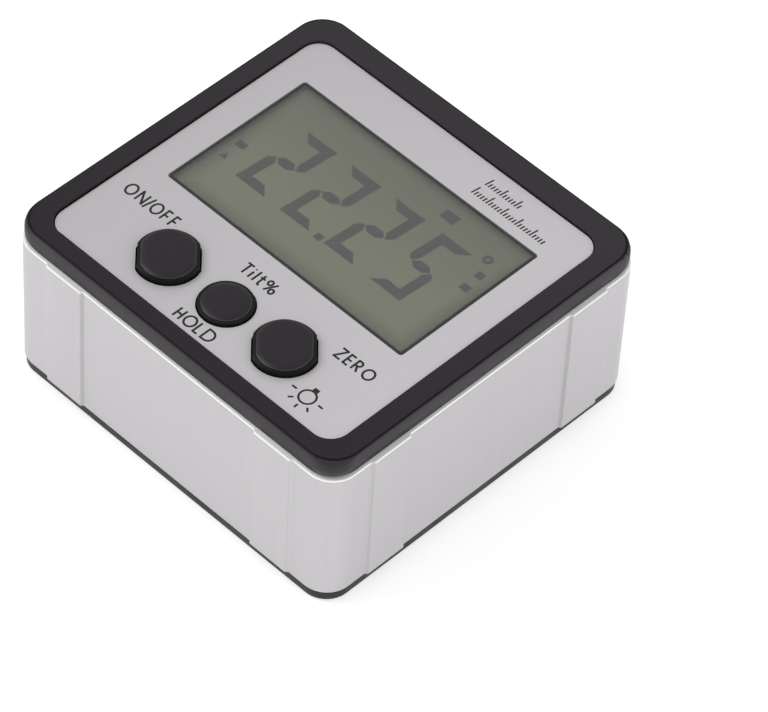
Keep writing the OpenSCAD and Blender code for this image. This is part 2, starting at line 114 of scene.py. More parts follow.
world = bpy.data.worlds.new("white_room")
scene.world = world
world.use_nodes = True
room = world.node_tree.nodes["Background"]
room.inputs["Color"].default_value = (1, 1, 1, 1)
room.inputs["Strength"].default_value = room_light
seen = node_of(world, "ShaderNodeLightPath")
white = node_of(world, "ShaderNodeBackground")
blend = node_of(world, "ShaderNodeMixShader")
join(world, (seen.outputs["Is Camera Ray"], blend.inputs[0]), (room.outputs[0], blend.inputs[1]),
     (white.outputs[0], blend.inputs[2]),
     (blend.outputs[0], world.node_tree.nodes["World Output"].inputs["Surface"]))

soft_lamp("lamp_left", (-0.5, -0.35, 0.7), 2.5)
soft_lamp("lamp_right", (0.6, 0.2, 0.5), 0.6)

# The floor glows a little where the camera or a reflection sees it, and is clear from below.
bpy.ops.object.select_all(action="DESELECT")
bpy.ops.mesh.primitive_plane_add(size=floor_size, location=(0, 0, floor_level))
floor = bpy.context.object
floor.name = "floor"
floor_white = finish_of("floor_white", (0.6, 0.6, 0.6), 0.9, Specular_IOR_Level=0)
glow = node_of(floor_white, "ShaderNodeEmission")
ray = node_of(floor_white, "ShaderNodeLightPath")
mirrored = node_of(floor_white, "ShaderNodeMath", operation="MAXIMUM")
looked_at = node_of(floor_white, "ShaderNodeMath", operation="MAXIMUM")
amount = node_of(floor_white, "ShaderNodeMath", operation="MULTIPLY")
amount.inputs[1].default_value = floor_glow
side = node_of(floor_white, "ShaderNodeNewGeometry")
clear = node_of(floor_white, "ShaderNodeBsdfTransparent")
both = node_of(floor_white, "ShaderNodeAddShader")
upper = node_of(floor_white, "ShaderNodeMixShader")
join(floor_white, (ray.outputs["Is Camera Ray"], mirrored.inputs[0]),
     (ray.outputs["Is Glossy Ray"], mirrored.inputs[1]), (mirrored.outputs[0], looked_at.inputs[0]),
     (ray.outputs["Is Transmission Ray"], looked_at.inputs[1]),
     (looked_at.outputs[0], amount.inputs[0]), (amount.outputs[0], glow.inputs["Strength"]),
     (shader_of(floor_white).outputs[0], both.inputs[0]), (glow.outputs[0], both.inputs[1]),
     (side.outputs["Backfacing"], upper.inputs[0]), (both.outputs[0], upper.inputs[1]),
     (clear.outputs[0], upper.inputs[2]),
     (upper.outputs[0], floor_white.node_tree.nodes["Material Output"].inputs["Surface"]))
floor.data.materials.append(floor_white)


# Front bezel: one black moulded part with a flat rim, a band that shows above
# the metal frame, and long posts inside. Fine spark texture, edges just broken.
def noise_on(material, size, stretch, detail):
    """Adds a noise of one size in millimetres, fixed to the piece, stretched along an axis if wanted."""
    place = node_of(material, "ShaderNodeTexCoord")
    turn = node_of(material, "ShaderNodeMapping")
    turn.inputs["Scale"].default_value = [1000 / size / s for s in stretch]
    pattern = node_of(material, "ShaderNodeTexNoise", Scale=1, Detail=detail)
    join(material, (place.outputs["Object"], turn.inputs["Vector"]),
         (turn.outputs["Vector"], pattern.inputs["Vector"]))
    return pattern.outputs[0]


def two_colours(material, low, high, start=0, end=1):
    """Adds a ramp from one colour to another."""
    ramp = node_of(material, "ShaderNodeValToRGB")
    for stop, position, colour in zip(ramp.color_ramp.elements, (start, end), (low, high)):
        stop.position = position
        stop.color = (*colour, 1)
    return ramp


def grain(material, size, depth, detail=3, stretch=(1, 1, 1)):
    """Adds a fine relief of one size and one depth in millimetres."""
    relief = node_of(material, "ShaderNodeBump", Strength=1, Distance=depth / 1000)
    join(material, (noise_on(material, size, stretch, detail), relief.inputs["Height"]),
         (relief.outputs["Normal"], shader_of(material).inputs["Normal"]))


def cloud(material, size, socket, low, high, stretch=(1, 1, 1)):
    """Lets a colour or a number of the main shader drift between two values."""
    if isinstance(low, tuple):
        span = two_colours(material, low, high, 0.3, 0.7)
    else:
        span = node_of(material, "ShaderNodeMapRange", From_Min=0.3, From_Max=0.7, To_Min=low, To_Max=high)
    join(material, (noise_on(material, size, stretch, 2), span.inputs[0]),
         (span.outputs[0], shader_of(material).inputs[socket]))


def drift(material, axis, low_place, high_place, low, high):
    """Changes the base colour evenly along one axis, between two places in millimetres."""
    place = node_of(material, "ShaderNodeTexCoord")
    parts = node_of(material, "ShaderNodeSeparateXYZ")
    along = node_of(material, "ShaderNodeMapRange", From_Min=low_place / 1000, From_Max=high_place / 1000)
    tone = two_colours(material, low, high)
    join(material, (place.outputs["Object"], parts.inputs[0]), (parts.outputs[axis], along.inputs["Value"]),
         (along.outputs[0], tone.inputs[0]), (tone.outputs[0], shader_of(material).inputs["Base Color"]))


def dress(piece, *materials):
    """Gives a piece or a CAD node its materials, in place of what it had."""
    piece.data.materials.clear()
    for material in materials:
        piece.data.materials.append(material)


def new_piece(name, data):
    """Adds an object with a name to the scene."""
    piece = bpy.data.objects.new(name, data)
    bpy.context.collection.objects.link(piece)
    return piece


def pick(piece):
    """Makes a piece the only selected object."""
    bpy.ops.object.select_all(action="DESELECT")
    bpy.context.view_layer.objects.active = piece
    piece.select_set(True)


def start_edit(piece):
    """Picks a piece and opens it in edit mode, with nothing in it selected."""
    pick(piece)
    bpy.ops.object.mode_set(mode="EDIT")
    bpy.ops.mesh.select_mode(type="VERT")
    bpy.ops.mesh.select_all(action="DESELECT")


def end_edit():
    """Leaves edit mode."""
    bpy.ops.object.mode_set(mode="OBJECT")


def box_of(node):
    """The lowest and the highest corner of a CAD node, in millimetres."""
    low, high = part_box(node)
    return low * 1000, high * 1000


def pick_points(piece, test):
    """Selects, in edit mode, the points whose place in millimetres passes a test."""
    cage = bmesh.from_edit_mesh(piece.data)
    for vert in cage.verts:
        vert.select = bool(test(vert.co * 1000))
    bmesh.update_edit_mesh(piece.data)


def copy_of(node, name):
    """Copies a CAD node's mesh, merges its loose triangles and takes out the needless edges."""
    piece = new_piece(name, nodes[node].data.copy())
    start_edit(piece)
    bpy.ops.mesh.select_all(action="SELECT")
    bpy.ops.mesh.remove_doubles(threshold=0.000002)
    bpy.ops.mesh.dissolve_limited(angle_limit=math.radians(0.4))
    end_edit()
    return piece


def apply(piece, modifier):
    """Applies one modifier of a piece."""
    pick(piece)
    bpy.ops.object.modifier_apply(modifier=modifier.name)


def smooth(piece, angle):
    """Smooths the curved faces of a piece and keeps its large flat faces flat."""
    pick(piece)
    bpy.ops.object.shade_smooth_by_angle(angle=math.radians(angle))
    flat = piece.modifiers.new("flat_faces", "WEIGHTED_NORMAL")
    flat.keep_sharp = True
    apply(piece, flat)


sharp_angle = 50


def soften(piece, width, finish=-1):
    """Breaks the sharp edges with a small round, in a finish of its own if wanted, and smooths the rest."""
    rounded = piece.modifiers.new("broken_edges", "BEVEL")
    rounded.width = width / 1000
    rounded.segments = 2
    rounded.limit_method = "ANGLE"
    rounded.angle_limit = math.radians(sharp_angle)
    rounded.use_clamp_overlap = False
    rounded.harden_normals = False
    rounded.material = finish
    apply(piece, rounded)
    smooth(piece, sharp_angle)


shell_black = finish_of("shell_black", (0.013, 0.01, 0.013), 0.42, Specular_IOR_Level=0.3)
grain(shell_black, 0.16, 0.008, detail=2)
cloud(shell_black, 6, "Roughness", 0.38, 0.5)
# Painted light across the rim: the black runs from darker at the near side (-Y) to lighter at the far side
# (+Y).
drift(shell_black, 1, -28, 28, (0.0068, 0.0042, 0.0068), (0.0188, 0.015, 0.0188))
# Painted shade and light on the one black moulding: darker for the rim's round, lighter for the band, lighter
# still for its foot.
rim_painted_shade = finish_of("rim_painted_shade", (0.0057, 0.0042, 0.0057), 0.5, Specular_IOR_Level=0.12)
grain(rim_painted_shade, 0.16, 0.006, detail=2)
band_painted_light = finish_of("band_painted_light", (0.021, 0.016, 0.021), 0.5, Specular_IOR_Level=0.35)
grain(band_painted_light, 0.2, 0.012, detail=2)
foot_painted_reflection = finish_of("foot_painted_reflection", (0.038, 0.032, 0.0385), 0.5, Specular_IOR_Level=0.4)
grain(foot_painted_reflection, 0.2, 0.012, detail=2)

bezel_x, bezel_y, rim_top = box_of("front_bezel")[1]
bezel_foot = box_of("side_frame")[1].z
corner_round = 3.7
corner_x, corner_y = bezel_x - corner_round, bezel_y - corner_round
rim_low, band_top, band_split = rim_top - 0.105, rim_top - 0.35, rim_top - 2
foot_wall, foot_corner, foot_taper = 0.45, 3, 0.9972
inner_share = 0.93
bezel = copy_of("front_bezel", "bezel")


def widen_corners(level, radius, more):
    """Draws the bezel's four corner rounds at one level out to a larger radius."""
    for side_x, side_y in ((-1, -1), (-1, 1), (1, -1), (1, 1)):
        start_edit(bezel)
        pick_points(bezel, lambda at: abs(at.z - level) < 0.01
                    and min(side_x * at.x - corner_x, side_y * at.y - corner_y) > -0.01
                    and abs(math.hypot(side_x * at.x - corner_x, side_y * at.y - corner_y) - radius) < 0.02)
        tip = (side_x * (corner_x + radius) / 1000, side_y * (corner_y + radius) / 1000, 0)
        bpy.ops.transform.resize(value=(1 + more / radius, 1 + more / radius, 1), center_override=tip)
        end_edit()


widen_corners(rim_top, 3.31, 0.9)
widen_corners(rim_low, 3.555, 0.62)
widen_corners(band_top, 3.66, 0.4)
widen_corners(bezel_foot, 3.58, 0.9)
# The outer wall is drawn in a little at its foot.
start_edit(bezel)
pick_points(bezel, lambda at: abs(at.z - bezel_foot) < 0.01
            and (abs(at.x) > bezel_x - foot_wall or abs(at.y) > bezel_y - foot_wall
                 or math.hypot(abs(at.x) - corner_x, abs(at.y) - corner_y) > foot_corner))
bpy.ops.transform.resize(value=(foot_taper, foot_taper, 1), center_override=(0, 0, 0))
end_edit()
soften(bezel, 0.07)
dress(bezel, shell_black, rim_painted_shade, band_painted_light, foot_painted_reflection)
# The round of the rim takes a painted shade, the band a painted light and the band's foot a painted
# reflection of the floor; inner faces don't.
for face in bezel.data.polygons:
    middle, slope = face.center * 1000, face.normal
    if max(abs(middle.x) / bezel_x, abs(middle.y) / bezel_y) < inner_share or middle.z < bezel_foot - 0.05:
        continue
    if slope.z < 0.97 and middle.z > rim_low:
        face.material_index = 1
    elif slope.z > -0.15 and middle.z < rim_low:
        face.material_index = 2 if middle.z > band_split else 3
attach(bezel, "housing")
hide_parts("front_bezel")


# Face plate: thin aluminium sheet in satin silver paint, punched for the display
# and the buttons, stuck into the bezel with a thin black tape.
plate_silver = finish_of("plate_silver", (0.52, 0.51, 0.53), 0.5, Metallic=0.25)
cloud(plate_silver, 9, "Roughness", 0.47, 0.53)
# Painted light across the plate: the silver runs from darker at -X to lighter at +X.
drift(plate_silver, 0, -26, 26, (0.475, 0.458, 0.475), (0.545, 0.525, 0.545))
grain(plate_silver, 0.09, 0.002)
# The broken edges of the plate take a lighter, brighter silver as a painted highlight.
plate_edge_painted_highlight = finish_of("plate_edge_painted_highlight", (0.8, 0.8, 0.82), 0.3, Metallic=0.4)
grain(plate_edge_painted_highlight, 0.1, 0.001)
opening_edge = 1
window_low, window_high = box_of("display_window")
plate = copy_of("face_plate", "silver_plate")
dress(plate, plate_silver, plate_edge_painted_highlight)
soften(plate, 0.09, finish=1)
# The edge of the display opening has no painted highlight; it takes the face's silver.
for face in plate.data.polygons:
    middle = face.center * 1000
    if (window_low.x - opening_edge < middle.x < window_high.x + opening_edge
            and window_low.y - opening_edge < middle.y < window_high.y + opening_edge):
        face.material_index = 0
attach(plate, "housing")
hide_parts("face_plate")

tape_black = finish_of("tape_black", (0.02, 0.02, 0.02), 0.7)
grain(tape_black, 0.3, 0.01)
dress(nodes["plate_tape"], tape_black)


# Print on the plate: thin dark letters beside each button, a small lamp sign, and
# a plain tick scale over the display. Each stroke is a flat line of raised ink.
ink_width = 0.325
ink_height = 0.012
plate_top = box_of("face_plate")[1].z
ink_dark = finish_of("ink_dark", (0.013, 0.012, 0.014), 0.5, Specular_IOR_Level=0.3)
cloud(ink_dark, 0.5, "Base Color", (0.01, 0.009, 0.011), (0.017, 0.016, 0.018))
grain(ink_dark, 0.1, 0.002)


def arc(x, y, wide, high, start, end, steps=20):
    """Points on an ellipse from one angle to another, in degrees."""
    turns = [math.radians(start + (end - start) * i / steps) for i in range(steps + 1)]
    return [(x + wide * math.cos(t), y + high * math.sin(t)) for t in turns]


# Each letter is a few lines in a cell one unit high.
letters = {
    "O": [arc(0.44, 0.5, 0.42, 0.5, 90, 450, 32)],
    "N": [[(0, 0), (0, 1), (0.66, 0), (0.66, 1)]],
    "F": [[(0, 0), (0, 1), (0.46, 1)], [(0, 0.5), (0.44, 0.5)]],
    "H": [[(0, 0), (0, 1)], [(0.6, 0), (0.6, 1)], [(0, 0.5), (0.6, 0.5)]],
    "L": [[(0, 1), (0, 0), (0.44, 0)]],
    "D": [[(0.26, 0), (0, 0), (0, 1), (0.26, 1)] + arc(0.26, 0.5, 0.42, 0.5, 90, -90)],
    "Z": [[(0, 1), (0.56, 1), (0, 0), (0.58, 0)]],
    "E": [[(0.46, 1), (0, 1), (0, 0), (0.46, 0)], [(0, 0.5), (0.44, 0.5)]],
    "R": [[(0, 0), (0, 1), (0.22, 1)] + arc(0.22, 0.75, 0.24, 0.25, 90, -90) + [(0, 0.5)],
          [(0.2, 0.5), (0.52, 0)]],
    "T": [[(0, 1), (0.56, 1)], [(0.28, 0), (0.28, 1)]],
    "i": [[(0, 0), (0, 0.66)], [(0, 0.88), (0, 0.98)]],
    "l": [[(0, 0), (0, 1.04)]],
    "t": [[(0.14, 1), (0.14, 0.16), (0.2, 0.03), (0.36, 0)], [(-0.04, 0.68), (0.38, 0.68)]],
    "%": [arc(0.19, 0.76, 0.17, 0.22, 90, 450), arc(0.71, 0.22, 0.17, 0.22, 90, 450),
          [(0.7, 1), (0.2, -0.02)]],
    "/": [[(0, -0.12), (0.36, 1.06)]],
}
letter_wide, letter_tall = 1.2, 1.11
letter_left, letter_drop = 0.035, 0.055


def parted(line, width):
    """Splits a line at its sharp corners into strokes that overlap there."""
    made = [[line[0]]]
    for i in range(1, len(line)):
        made[-1].append(line[i])
        if i + 1 < len(line):
            (ax, ay), (bx, by), (cx, cy) = line[i - 1:i + 2]
            turn = math.atan2(by - ay, bx - ax) - math.atan2(cy - by, cx - bx)
            if math.cos(turn) < 0.8:
                made.append([line[i]])
    overlap = width * 0.36
    for i, stroke in enumerate(made):
        for end, inner, at_corner in ((0, 1, i > 0), (-1, -2, i + 1 < len(made))):
            (ax, ay), (bx, by) = stroke[inner], stroke[end]
            size = math.hypot(bx - ax, by - ay)
            if at_corner:
                stroke[end] = (bx + (bx - ax) / size * overlap, by + (by - ay) / size * overlap)
    return made


def strokes(name, lines, width=ink_width):
    """Draws open lines in millimetres as round strokes, makes them a mesh and flattens them."""
    drawn = bpy.data.curves.new(name, "CURVE")
    drawn.dimensions = "3D"
    drawn.bevel_depth = width / 2000
    drawn.bevel_resolution = 2
    drawn.use_fill_caps = True
    for line in [stroke for whole in lines for stroke in parted(whole, width)]:
        spline = drawn.splines.new("POLY")
        spline.points.add(len(line) - 1)
        for point, (x, y) in zip(spline.points, line):
            point.co = (x / 1000, y / 1000, 0, 1)
    pick(new_piece(name, drawn))
    bpy.ops.object.convert(target="MESH")
    piece = bpy.context.object
    start_edit(piece)
    bpy.ops.mesh.select_all(action="SELECT")
    bpy.ops.transform.resize(value=(1, 1, 2 * ink_height / width), center_override=(0, 0, 0))
    bpy.ops.transform.translate(value=(0, 0, plate_top / 1000))
    end_edit()
    return piece


def label(name, low, high, *parts):
    """Writes letters between two heights; each part gives a letter, its left edge and its stretch."""
    lines = []
    for letter, left, stretch in parts:
        wide, tall = (high - low) * stretch * letter_wide, (high - low) * letter_tall
        start, base = left - letter_left * wide, low - letter_drop * tall
        for line in letters[letter]:
            lines.append([(start + x * wide, base + y * tall) for x, y in line])
    return strokes(name, lines)


prints = [
    label("print_on_off", -14.155, -12.445, ("O", -23.52, 0.875), ("N", -21.3, 0.9), ("/", -19.64, 0.6),
          ("O", -18.77, 0.86), ("F", -16.62, 0.78), ("F", -15.14, 0.76)),
    label("print_hold", -24.435, -22.795, ("H", -3.3, 0.78), ("O", -1.8, 1.01), ("L", 0.4, 0.83),
          ("D", 1.78, 1.09)),
    label("print_zero", -14.225, -12.635, ("Z", 15.5, 0.94), ("E", 17.1, 0.88), ("R", 18.47, 0.93),
          ("O", 20.1, 0.96)),
    label("print_tilt", -12.905, -11.225, ("T", -3.15, 0.98), ("i", -1.52, 1), ("l", -0.77, 1),
          ("t", -0.15, 0.95), ("%", 0.98, 1)),
]

bulb_x, bulb_y, bulb_radius = 18.2, -21.65, 1.16
rays = []
for turn, start, end in ((0, 1.9, 2.7), (180, 1.9, 2.75), (225, 1.75, 2.5), (270, 1.7, 2.4),
                         (315, 1.75, 2.5)):
    across, along = math.cos(math.radians(turn)), math.sin(math.radians(turn))
    rays.append([(bulb_x + reach * across, bulb_y + reach * along) for reach in (start, end)])
cap_left, cap_right, cap_low, cap_step = 17.8, 18.66, -20.38, 0.145
cap = [[(cap_left, cap_low + cap_step * i), (cap_right, cap_low + cap_step * i)] for i in range(4)]
bulb = arc(bulb_x, bulb_y, bulb_radius, bulb_radius, 90, 450, 40)
prints.append(strokes("print_lamp", [bulb] + rays + cap, 0.3))

tick_step = 0.52
ticks = []
for left, low, count, longest in ((7.6, 18.7, 25, 1.55), (7.9, 21, 12, 1.5)):
    for i in range(count):
        lean, rise = (0.12, 0.8) if i % 5 else (0.22, longest)
        ticks.append([(left + tick_step * i, low), (left + tick_step * i + lean, low + rise)])
prints.append(strokes("print_scale", ticks, 0.24))
for piece in prints:
    dress(piece, ink_dark)
    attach(piece, "housing")


# Display: two sheets of glass with the liquid between them, a white light guide
# behind, rubber strips down to the board, and a clear sheet in the plate's opening.
display_x, display_y = (window_low.x + window_high.x) / 2, (window_low.y + window_high.y) / 2
glass_top, sheet_top = box_of("lcd_front_glass")[1].z, window_high.z
shade_width = 3.8
shade_low, shade_high = 2, 17
window_gap = 0.06

# Painted shade: the ground of the display is darker along its edges and towards its upper end.
lcd_ground = finish_of("lcd_ground", (0.118, 0.126, 0.08), 0.35, Specular_IOR_Level=0)
spot = node_of(lcd_ground, "ShaderNodeTexCoord")
parts = node_of(lcd_ground, "ShaderNodeSeparateXYZ")
join(lcd_ground, (spot.outputs["Object"], parts.inputs[0]))
shades = []
for axis, middle, reach in ((0, display_x, 21.3), (1, display_y, 12.5)):
    offset = node_of(lcd_ground, "ShaderNodeMath", operation="SUBTRACT")
    offset.inputs[1].default_value = middle / 1000
    distance = node_of(lcd_ground, "ShaderNodeMath", operation="ABSOLUTE")
    fall = node_of(lcd_ground, "ShaderNodeMapRange", interpolation_type="SMOOTHERSTEP",
                   From_Min=(reach - shade_width) / 1000, From_Max=reach / 1000)
    join(lcd_ground, (parts.outputs[axis], offset.inputs[0]), (offset.outputs[0], distance.inputs[0]),
         (distance.outputs[0], fall.inputs["Value"]))
    shades.append(fall)
upward = node_of(lcd_ground, "ShaderNodeMapRange", From_Min=shade_low / 1000,
                 From_Max=shade_high / 1000, To_Max=0.75)
nearer = node_of(lcd_ground, "ShaderNodeMath", operation="MAXIMUM")
darker = node_of(lcd_ground, "ShaderNodeMath", operation="MAXIMUM")
tone = two_colours(lcd_ground, (0.121, 0.1275, 0.082), (0.072, 0.074, 0.055))
join(lcd_ground, (parts.outputs[1], upward.inputs["Value"]), (shades[0].outputs[0], nearer.inputs[0]),
     (shades[1].outputs[0], nearer.inputs[1]), (nearer.outputs[0], darker.inputs[0]),
     (upward.outputs[0], darker.inputs[1]), (darker.outputs[0], tone.inputs[0]),
     (tone.outputs[0], shader_of(lcd_ground).inputs["Base Color"]))
dress(nodes["lcd_front_glass"], lcd_ground)
lcd_back = finish_of("lcd_back", (0.3, 0.31, 0.27), 0.25)
cloud(lcd_back, 8, "Roughness", 0.2, 0.35)
dress(nodes["lcd_rear_glass"], lcd_back)
guide_white = finish_of("guide_white", (0.82, 0.84, 0.8), 0.4)
grain(guide_white, 0.4, 0.01)
cloud(guide_white, 5, "Roughness", 0.35, 0.5)
dress(nodes["light_guide"], guide_white)


def broken(node, name, width, finish, body="housing"):
    """Copies a CAD node, breaks its sharp edges, gives it its finish and body, and hides the node."""
    piece = copy_of(node, name)
    soften(piece, width)
    dress(piece, finish)
    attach(piece, body)
    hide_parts(node)


holder_white = finish_of("holder_white", (0.75, 0.74, 0.7), 0.5)
grain(holder_white, 0.2, 0.008)
cloud(holder_white, 7, "Roughness", 0.42, 0.55)
broken("lcd_holder", "display_holder", 0.06, holder_white)
lamp_yellow = finish_of("lamp_yellow", (0.8, 0.62, 0.16), 0.3)
cloud(lamp_yellow, 0.8, "Base Color", (0.72, 0.5, 0.1), (0.84, 0.72, 0.3))
dress(nodes["backlight_leds"], lamp_yellow)
rubber_stripes = finish_of("rubber_stripes", (0.5, 0.2, 0.16), 0.6)
cloud(rubber_stripes, 0.12, "Base Color", (0.04, 0.03, 0.03), (0.62, 0.3, 0.26), stretch=(1, 40, 40))
dress(nodes["lcd_connectors"], rubber_stripes)


def pick_faces(piece, test):
    """Selects, in edit mode, the faces whose middle and normal pass a test."""
    bpy.ops.mesh.select_mode(type="FACE")
    bpy.ops.mesh.select_all(action="DESELECT")
    cage = bmesh.from_edit_mesh(piece.data)
    for face in cage.faces:
        if test(face.calc_center_median() * 1000, face.normal):
            face.select_set(True)
    bmesh.update_edit_mesh(piece.data)


# The lower face of the clear sheet is raised by a hair, so that the reading fits under it.
window_clear = finish_of("window_clear", (0.8, 0.82, 0.78), 0.06, Alpha=0.06)
cloud(window_clear, 14, "Roughness", 0.05, 0.1)
window = copy_of("display_window", "clear_window")
start_edit(window)
pick_faces(window, lambda middle, slope: slope.z < -0.9)
bpy.ops.transform.translate(value=(0, 0, window_gap / 1000))
end_edit()
soften(window, 0.06)
dress(window, window_clear)
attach(window, "housing")
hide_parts("display_window")


# Display border and reading: a narrow black line printed round the clear sheet's
# upper face, and the dark segments that the liquid shows, with small signs.
def flat_plate(name, outline, low, high):
    """Fills an outline of points in millimetres and gives it a thickness."""
    mesh = bpy.data.meshes.new(name)
    mesh.from_pydata([(x / 1000, y / 1000, low / 1000) for x, y in outline], [], [range(len(outline))])
    piece = new_piece(name, mesh)
    start_edit(piece)
    bpy.ops.mesh.select_all(action="SELECT")
    bpy.ops.mesh.extrude_region_move(TRANSFORM_OT_translate={"value": (0, 0, (high - low) / 1000)})
    bpy.ops.mesh.select_all(action="SELECT")
    bpy.ops.mesh.normals_make_consistent(inside=False)
    end_edit()
    return piece


def merge(name, pieces):
    """Joins pieces into one with a name."""
    bpy.ops.object.select_all(action="DESELECT")
    for piece in pieces:
        piece.select_set(True)
    bpy.context.view_layer.objects.active = pieces[0]
    bpy.ops.object.join()
    pieces[0].name = name
    return pieces[0]


def ring_of(name, outer, inner, low, high):
    """A flat frame between two outlines with the same number of points."""
    count = len(outer)
    mesh = bpy.data.meshes.new(name)
    points = [(x / 1000, y / 1000, z / 1000) for z in (low, high) for loop in (outer, inner) for x, y in loop]
    faces = []
    for i in range(count):
        j = (i + 1) % count
        a, b, c, d = i, j, count + j, count + i
        faces += [(d, c, b, a), (a + 2 * count, b + 2 * count, c + 2 * count, d + 2 * count),
                  (a, b, b + 2 * count, a + 2 * count), (d + 2 * count, c + 2 * count, c, d)]
    mesh.from_pydata(points, [], faces)
    return new_piece(name, mesh)


def grown(outline, reach):
    """Moves every side of an outline outwards, whichever way round it runs."""
    count = len(outline)
    area = sum(outline[i - 1][0] * outline[i][1] - outline[i][0] * outline[i - 1][1] for i in range(count))
    way = reach if area > 0 else -reach
    moved = []
    for i in range(count):
        (ax, ay), (bx, by), (cx, cy) = outline[i - 1], outline[i], outline[(i + 1) % count]
        first, second = math.hypot(bx - ax, by - ay), math.hypot(cx - bx, cy - by)
        mx, my = (by - ay) / first + (cy - by) / second, -(bx - ax) / first - (cx - bx) / second
        size = 2 * way / (mx * mx + my * my)
        moved.append((bx + mx * size, by + my * size))
    return moved


digit_height = 12.35
digit_width = 5.2
bar_width = 1.36
bar_gap = 0.09
slant = math.tan(math.radians(4.1))
digits_foot = -1.16545


def segment(place):
    """Outline of one of the seven bars of a digit, standing upright from (0, 0)."""
    w, h, b, m, g = digit_width, digit_height, bar_width, digit_height / 2, bar_gap
    bars = {
        "top": [(g, h), (w - g, h), (w - b - g, h - b), (b + g, h - b)],
        "bottom": [(g, 0), (b + g, b), (w - b - g, b), (w - g, 0)],
        "middle": [(b * 0.75 + g, m), (b * 1.3 + g, m + b / 2), (w - b * 1.3 - g, m + b / 2),
                   (w - b * 0.75 - g, m), (w - b * 1.3 - g, m - b / 2), (b * 1.3 + g, m - b / 2)],
        "top_right": [(w, h - g), (w - b, h - b - g), (w - b, m + b * 0.62 + g), (w - b * 0.6, m + g),
                      (w - b * 0.25, m + b * 0.2 + g), (w, m + b * 0.6)],
    }
    if place == "bottom_right":
        return [(x, h - y) for x, y in bars["top_right"]]
    if place in ("top_left", "bottom_left"):
        return [(w - x, y) for x, y in segment(place.replace("left", "right"))]
    return bars[place]


two = ["top", "top_right", "middle", "bottom_left", "bottom"]
five = ["top", "top_left", "middle", "bottom_right", "bottom"]
shown = ((two, -15.85364), (two, -7.58091), (two, 0.51), (five, 8.91909))
signs = ((-0.70091, -0.98364, 1, 0.9), (-19.33727, 3.15273, 1.45, 1), (8.43545, 13.97091, 2.27, 1.5),
         (18.25364, 9.42545, 1.05, 1.05), (18.39, 6.56182, 1.27, 1))
pointer_x, pointer_y = -19.47364, 0.19818
degree_x, degree_y = 17.02636, 12.19818


def reading(name, low, high, spread):
    """Makes the dark segments and signs of the display between two heights, spread outwards a little."""
    made = []
    for bars, start in shown:
        for place in bars:
            points = [(start + x + y * slant, digits_foot + y) for x, y in segment(place)]
            made.append(flat_plate(name, grown(points, spread), low, high))
    for x, y, wide, tall in signs:
        corners = [(x - wide / 2, y - tall / 2), (x + wide / 2, y - tall / 2),
                   (x + wide / 2, y + tall / 2), (x - wide / 2, y + tall / 2)]
        made.append(flat_plate(name, grown(corners, spread), low, high))
    pointer = [(pointer_x - 0.5, pointer_y - 0.4), (pointer_x + 0.5, pointer_y - 0.4),
               (pointer_x, pointer_y + 0.45)]
    made.append(flat_plate(name, grown(pointer, spread), low, high))
    outer, inner = [arc(degree_x, degree_y, radius, radius, 0, 352.5, 47)
                    for radius in (0.68 + spread, 0.3 - spread)]
    made.append(ring_of(name, outer, inner, low, high))
    return merge(name, made)


digits_dark = finish_of("digits_dark", (0.0205, 0.0255, 0.0285), 0.5, Specular_IOR_Level=0)
cloud(digits_dark, 3, "Base Color", (0.0185, 0.0235, 0.0265), (0.0225, 0.0275, 0.0305))
digits = reading("display_reading", glass_top + 0.01, glass_top + 0.02, -0.07)
dress(digits, digits_dark)
# A painted shadow of the reading: a half-clear dark copy of the segments, spread a little wider, just under
# them.
digits_painted_shadow = finish_of("digits_painted_shadow", (0.05, 0.056, 0.055), 0.6, Alpha=0.45, Specular_IOR_Level=0)
cloud(digits_painted_shadow, 3, "Base Color", (0.046, 0.052, 0.05), (0.054, 0.06, 0.06))
shade = reading("display_reading_shade", glass_top + 0.003, glass_top + 0.007, 0.1)
dress(shade, digits_painted_shadow)


def rounded(width, length, radius):
    """Points round a rectangle with round corners, centred on the display."""
    points = []
    for side_x, side_y, start in ((1, 1, 0), (-1, 1, 90), (-1, -1, 180), (1, -1, 270)):
        x, y = display_x + side_x * (width / 2 - radius), display_y + side_y * (length / 2 - radius)
        points += arc(x, y, radius, radius, start, start + 90, 6)
    return points


border_black = finish_of("border_black", (0.012, 0.012, 0.013), 0.4)
cloud(border_black, 2, "Roughness", 0.35, 0.5)
border = ring_of("display_border", rounded(42.7, 25.05, 0.4), rounded(41.95, 24.3, 0.2),
                 sheet_top + 0.002, sheet_top + 0.012)
dress(border, border_black)
for piece in (digits, shade, border):
    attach(piece, "housing")


# Buttons: black rubbery plastic caps, the outer two with two flats, each on a
# wide foot below the bezel, over the plunger of its switch.
shoulder = 0.42
# Each step of the shoulder: how far in across the flats and along them, and how far below the top.
shoulder_steps = ((0.1, 0.02, 0.38), (0.3, 0.05, 0.33), (0.47, 0.1, 0.28), (0.54, 0.16, 0.23),
                  (0.68, 0.28, 0.14), (0.88, 0.5, 0.06), (1.15, 0.8, 0.02), (1.6, 1.3, 0), (2.6, 2.8, 0.02))
line_level, side_level = 0.24, 0.27
foot_thick, foot_reach, foot_round = 0.9, 0.8, 0.12
button_black = finish_of("button_black", (0.0112, 0.0078, 0.0112), 0.45, Specular_IOR_Level=0.3)
grain(button_black, 0.12, 0.004)
cloud(button_black, 4, "Roughness", 0.4, 0.5)
button_painted_highlight = finish_of("button_painted_highlight", (0.035, 0.034, 0.035), 0.4, Specular_IOR_Level=0.5)
grain(button_painted_highlight, 0.12, 0.003)
button_painted_shade = finish_of("button_painted_shade", (0.006, 0.0055, 0.006), 0.5, Specular_IOR_Level=0.15)
grain(button_painted_shade, 0.12, 0.004)


